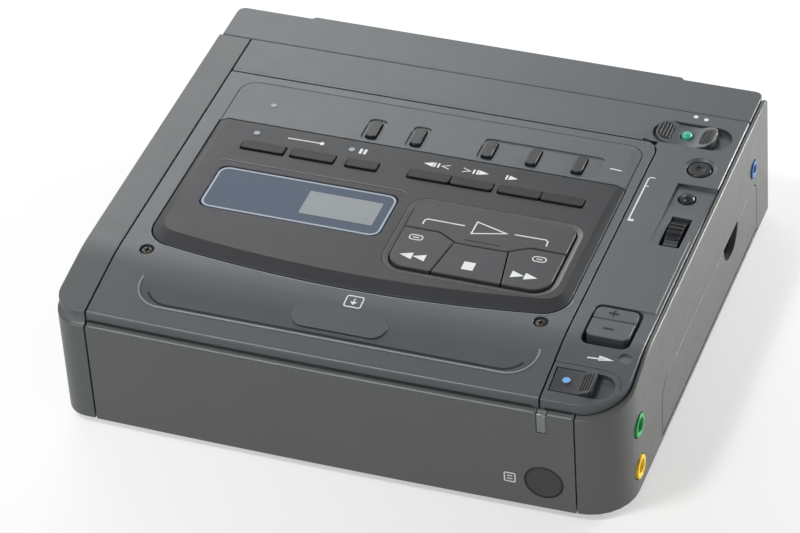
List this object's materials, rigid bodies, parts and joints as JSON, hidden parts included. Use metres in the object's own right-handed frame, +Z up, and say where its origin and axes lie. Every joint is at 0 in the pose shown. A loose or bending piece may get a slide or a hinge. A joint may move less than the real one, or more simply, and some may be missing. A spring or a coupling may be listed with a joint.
{
  "type": "portable video cassette deck",
  "caption": "Flat portable deck for small video cassettes, with a hinged top lid full of keys, a display window, side sockets behind a door and a tape drive inside.",
  "frame": {"origin": "middle of the bounding box in plan, at the level the four feet stand on", "axes": "+X to the right side with the sockets, +Y to the back with the battery plate, +Z up"},
  "size_m": [0.1484, 0.1298, 0.0404],
  "materials": {
    "shell_plastic": "fine satin texture, dark grey",
    "lid_plastic": "satin metallic blue-grey",
    "fascia_plastic": "satin dark grey",
    "key_plastic": "satin dark grey, moulded",
    "window_plastic": "clear over a blue-grey display",
    "foot_rubber": "matte",
    "steel": "plated, brushed",
    "aluminium": "turned and polished",
    "board": "green solder mask",
    "white_plastic": "smooth acetal",
    "lamp_plastic": "clear light pipe",
    "ir_plastic": "dark infrared filter",
    "green_plastic": "smooth",
    "yellow_plastic": "smooth",
    "blue_plastic": "smooth",
    "lock_plastic": "smooth green-blue",
    "socket_plastic": "black"
  },
  "bodies": {
    "case": {"bottom_cover": "shell_plastic", "front_panel": "shell_plastic", "left_cover": "shell_plastic", "right_cover": "shell_plastic", "back_cover": "lid_plastic", "top_panel": "lid_plastic", "battery_plate": "key_plastic", "foot_front_left": "foot_rubber", "foot_back_left": "foot_rubber", "foot_front_right": "foot_rubber", "foot_back_right": "foot_rubber", "ir_window": "ir_plastic", "charge_lamp": "lamp_plastic", "headphone_jack": "green_plastic", "line_jack": "yellow_plastic", "remote_jack": "blue_plastic", "video_socket": "socket_plastic", "digital_socket": "steel", "main_board": "board", "mechanism_chassis": "steel", "drum_base": "aluminium"},
    "lid": {"lid_cover": "lid_plastic", "control_fascia": "fascia_plastic", "display_window": "window_plastic", "key_tray": "key_plastic", "lid_screw_left": "steel", "lid_screw_right": "steel"},
    "holder": {"cassette_holder": "steel"},
    "record_key_left_body": {"record_key_left": "key_plastic"},
    "record_key_right_body": {"record_key_right": "key_plastic"},
    "pause_key_body": {"pause_key": "key_plastic"},
    "frame_back_key_body": {"frame_back_key": "key_plastic"},
    "frame_forward_key_body": {"frame_forward_key": "key_plastic"},
    "slow_key_body": {"slow_key": "key_plastic"},
    "double_speed_key_body": {"double_speed_key": "key_plastic"},
    "data_button_body": {"data_button": "key_plastic"},
    "screen_button_body": {"screen_button": "key_plastic"},
    "effect_button_body": {"effect_button": "key_plastic"},
    "title_button_body": {"title_button": "key_plastic"},
    "zoom_button_body": {"zoom_button": "key_plastic"},
    "play_key_body": {"play_key": "key_plastic"},
    "rewind_key_body": {"rewind_key": "key_plastic"},
    "stop_key_body": {"stop_key": "key_plastic"},
    "fast_forward_key_body": {"fast_forward_key": "key_plastic"},
    "power_slider_body": {"power_slider": "key_plastic"},
    "power_lock_button_body": {"power_lock_button": "lock_plastic"},
    "link_button_body": {"link_button": "key_plastic"},
    "menu_button_body": {"menu_button": "key_plastic"},
    "dial_frame_body": {"dial_frame": "key_plastic"},
    "dial_wheel_body": {"dial_wheel": "key_plastic"},
    "volume_rocker_body": {"volume_rocker": "key_plastic"},
    "eject_slider_body": {"eject_slider": "key_plastic"},
    "jack_door_body": {"jack_door": "shell_plastic"},
    "battery_latch_body": {"battery_latch": "key_plastic"},
    "head_drum_body": {"head_drum": "aluminium"},
    "supply_reel_body": {"supply_reel": "white_plastic"},
    "takeup_reel_body": {"takeup_reel": "white_plastic"},
    "capstan_body": {"capstan": "steel"},
    "pinch_arm_body": {"pinch_arm": "steel"}
  },
  "joints": [
    {"name": "lid_hinge", "type": "hinge", "parent": "case", "child": "lid", "pos_m": [-0.00598, 0.0359, 0.0377], "axis": [-1, 0, 0], "range_deg": [0, 60]},
    {"name": "holder_hinge", "type": "hinge", "parent": "case", "child": "holder", "pos_m": [-0.00598, 0.00935, 0.0305], "axis": [-1, 0, 0], "range_deg": [0, 24]},
    {"name": "record_key_left_press", "type": "slide", "parent": "lid", "child": "record_key_left_body", "axis": [0, 0, -1], "range_m": [0, 0.0005], "stiffness_N_per_m": 300, "springref_m": -0.0003},
    {"name": "record_key_right_press", "type": "slide", "parent": "lid", "child": "record_key_right_body", "axis": [0, 0, -1], "range_m": [0, 0.0005], "stiffness_N_per_m": 300, "springref_m": -0.0003},
    {"name": "pause_key_press", "type": "slide", "parent": "lid", "child": "pause_key_body", "axis": [0, 0, -1], "range_m": [0, 0.0005], "stiffness_N_per_m": 300, "springref_m": -0.0003},
    {"name": "frame_back_key_press", "type": "slide", "parent": "lid", "child": "frame_back_key_body", "axis": [0, 0, -1], "range_m": [0, 0.0005], "stiffness_N_per_m": 300, "springref_m": -0.0003},
    {"name": "frame_forward_key_press", "type": "slide", "parent": "lid", "child": "frame_forward_key_body", "axis": [0, 0, -1], "range_m": [0, 0.0005], "stiffness_N_per_m": 300, "springref_m": -0.0003},
    {"name": "slow_key_press", "type": "slide", "parent": "lid", "child": "slow_key_body", "axis": [0, 0, -1], "range_m": [0, 0.0005], "stiffness_N_per_m": 300, "springref_m": -0.0003},
    {"name": "double_speed_key_press", "type": "slide", "parent": "lid", "child": "double_speed_key_body", "axis": [0, 0, -1], "range_m": [0, 0.0005], "stiffness_N_per_m": 300, "springref_m": -0.0003},
    {"name": "data_button_press", "type": "slide", "parent": "lid", "child": "data_button_body", "axis": [0, 0, -1], "range_m": [0, 0.0005], "stiffness_N_per_m": 300, "springref_m": -0.0003},
    {"name": "screen_button_press", "type": "slide", "parent": "lid", "child": "screen_button_body", "axis": [0, 0, -1], "range_m": [0, 0.0005], "stiffness_N_per_m": 300, "springref_m": -0.0003},
    {"name": "effect_button_press", "type": "slide", "parent": "lid", "child": "effect_button_body", "axis": [0, 0, -1], "range_m": [0, 0.0005], "stiffness_N_per_m": 300, "springref_m": -0.0003},
    {"name": "title_button_press", "type": "slide", "parent": "lid", "child": "title_button_body", "axis": [0, 0, -1], "range_m": [0, 0.0005], "stiffness_N_per_m": 300, "springref_m": -0.0003},
    {"name": "zoom_button_press", "type": "slide", "parent": "lid", "child": "zoom_button_body", "axis": [0, 0, -1], "range_m": [0, 0.0005], "stiffness_N_per_m": 300, "springref_m": -0.0003},
    {"name": "play_key_press", "type": "slide", "parent": "lid", "child": "play_key_body", "axis": [0, 0, -1], "range_m": [0, 0.0005], "stiffness_N_per_m": 300, "springref_m": -0.0003},
    {"name": "rewind_key_press", "type": "slide", "parent": "lid", "child": "rewind_key_body", "axis": [0, 0, -1], "range_m": [0, 0.0005], "stiffness_N_per_m": 300, "springref_m": -0.0003},
    {"name": "stop_key_press", "type": "slide", "parent": "lid", "child": "stop_key_body", "axis": [0, 0, -1], "range_m": [0, 0.0005], "stiffness_N_per_m": 300, "springref_m": -0.0003},
    {"name": "fast_forward_key_press", "type": "slide", "parent": "lid", "child": "fast_forward_key_body", "axis": [0, 0, -1], "range_m": [0, 0.0005], "stiffness_N_per_m": 300, "springref_m": -0.0003},
    {"name": "power_slide", "type": "slide", "parent": "case", "child": "power_slider_body", "axis": [1, 0, 0], "range_m": [0, 0.003]},
    {"name": "power_lock_button_press", "type": "slide", "parent": "power_slider_body", "child": "power_lock_button_body", "axis": [0, 0, -1], "range_m": [0, 0.0006], "stiffness_N_per_m": 300, "springref_m": -0.0003},
    {"name": "link_button_press", "type": "slide", "parent": "case", "child": "link_button_body", "axis": [0, 0, -1], "range_m": [0, 0.0006], "stiffness_N_per_m": 300, "springref_m": -0.0003},
    {"name": "menu_button_press", "type": "slide", "parent": "case", "child": "menu_button_body", "axis": [0, 0, -1], "range_m": [0, 0.0006], "stiffness_N_per_m": 300, "springref_m": -0.0003},
    {"name": "dial_frame_press", "type": "slide", "parent": "case", "child": "dial_frame_body", "axis": [0, 0, -1], "range_m": [0, 0.0008], "stiffness_N_per_m": 300, "springref_m": -0.0003},
    {"name": "dial_turn", "type": "hinge", "parent": "dial_frame_body", "child": "dial_wheel_body", "pos_m": [0.067, 0.00285, 0.03227], "axis": [1, 0, 0], "continuous": true},
    {"name": "volume_rock", "type": "hinge", "parent": "case", "child": "volume_rocker_body", "pos_m": [0.0629, -0.03595, 0.037], "axis": [1, 0, 0], "range_deg": [-4, 4], "stiffness_Nm_per_rad": 0.05},
    {"name": "eject_slide", "type": "slide", "parent": "case", "child": "eject_slider_body", "axis": [1, 0, 0], "range_m": [0, 0.003], "stiffness_N_per_m": 150, "springref_m": -0.001},
    {"name": "jack_door_hinge", "type": "hinge", "parent": "case", "child": "jack_door_body", "pos_m": [0.07289, 0.00965, 0.0042], "axis": [0, 1, 0], "range_deg": [0, 90]},
    {"name": "battery_latch_press", "type": "slide", "parent": "case", "child": "battery_latch_body", "axis": [0, -1, 0], "range_m": [0, 0.0015], "stiffness_N_per_m": 200, "springref_m": -0.0005},
    {"name": "head_drum_turn", "type": "hinge", "parent": "case", "child": "head_drum_body", "pos_m": [-0.00598, 0.02845, 0.0112], "axis": [0, -0.0872, 0.9962], "continuous": true},
    {"name": "supply_reel_turn", "type": "hinge", "parent": "case", "child": "supply_reel_body", "pos_m": [-0.02673, -0.01905, 0.0112], "axis": [0, 0, 1], "continuous": true},
    {"name": "takeup_reel_turn", "type": "hinge", "parent": "case", "child": "takeup_reel_body", "pos_m": [0.01477, -0.01905, 0.0112], "axis": [0, 0, 1], "continuous": true},
    {"name": "capstan_turn", "type": "hinge", "parent": "case", "child": "capstan_body", "pos_m": [0.02402, 0.01745, 0.0112], "axis": [0, 0, 1], "continuous": true},
    {"name": "pinch_swing", "type": "hinge", "parent": "case", "child": "pinch_arm_body", "pos_m": [0.03602, 0.01995, 0.0112], "axis": [0, 0, 1], "range_deg": [0, 27]}
  ],
  "couplings": [
    {"joint": "holder_hinge", "follows": "lid_hinge", "ratio": 0.4}
  ]
}
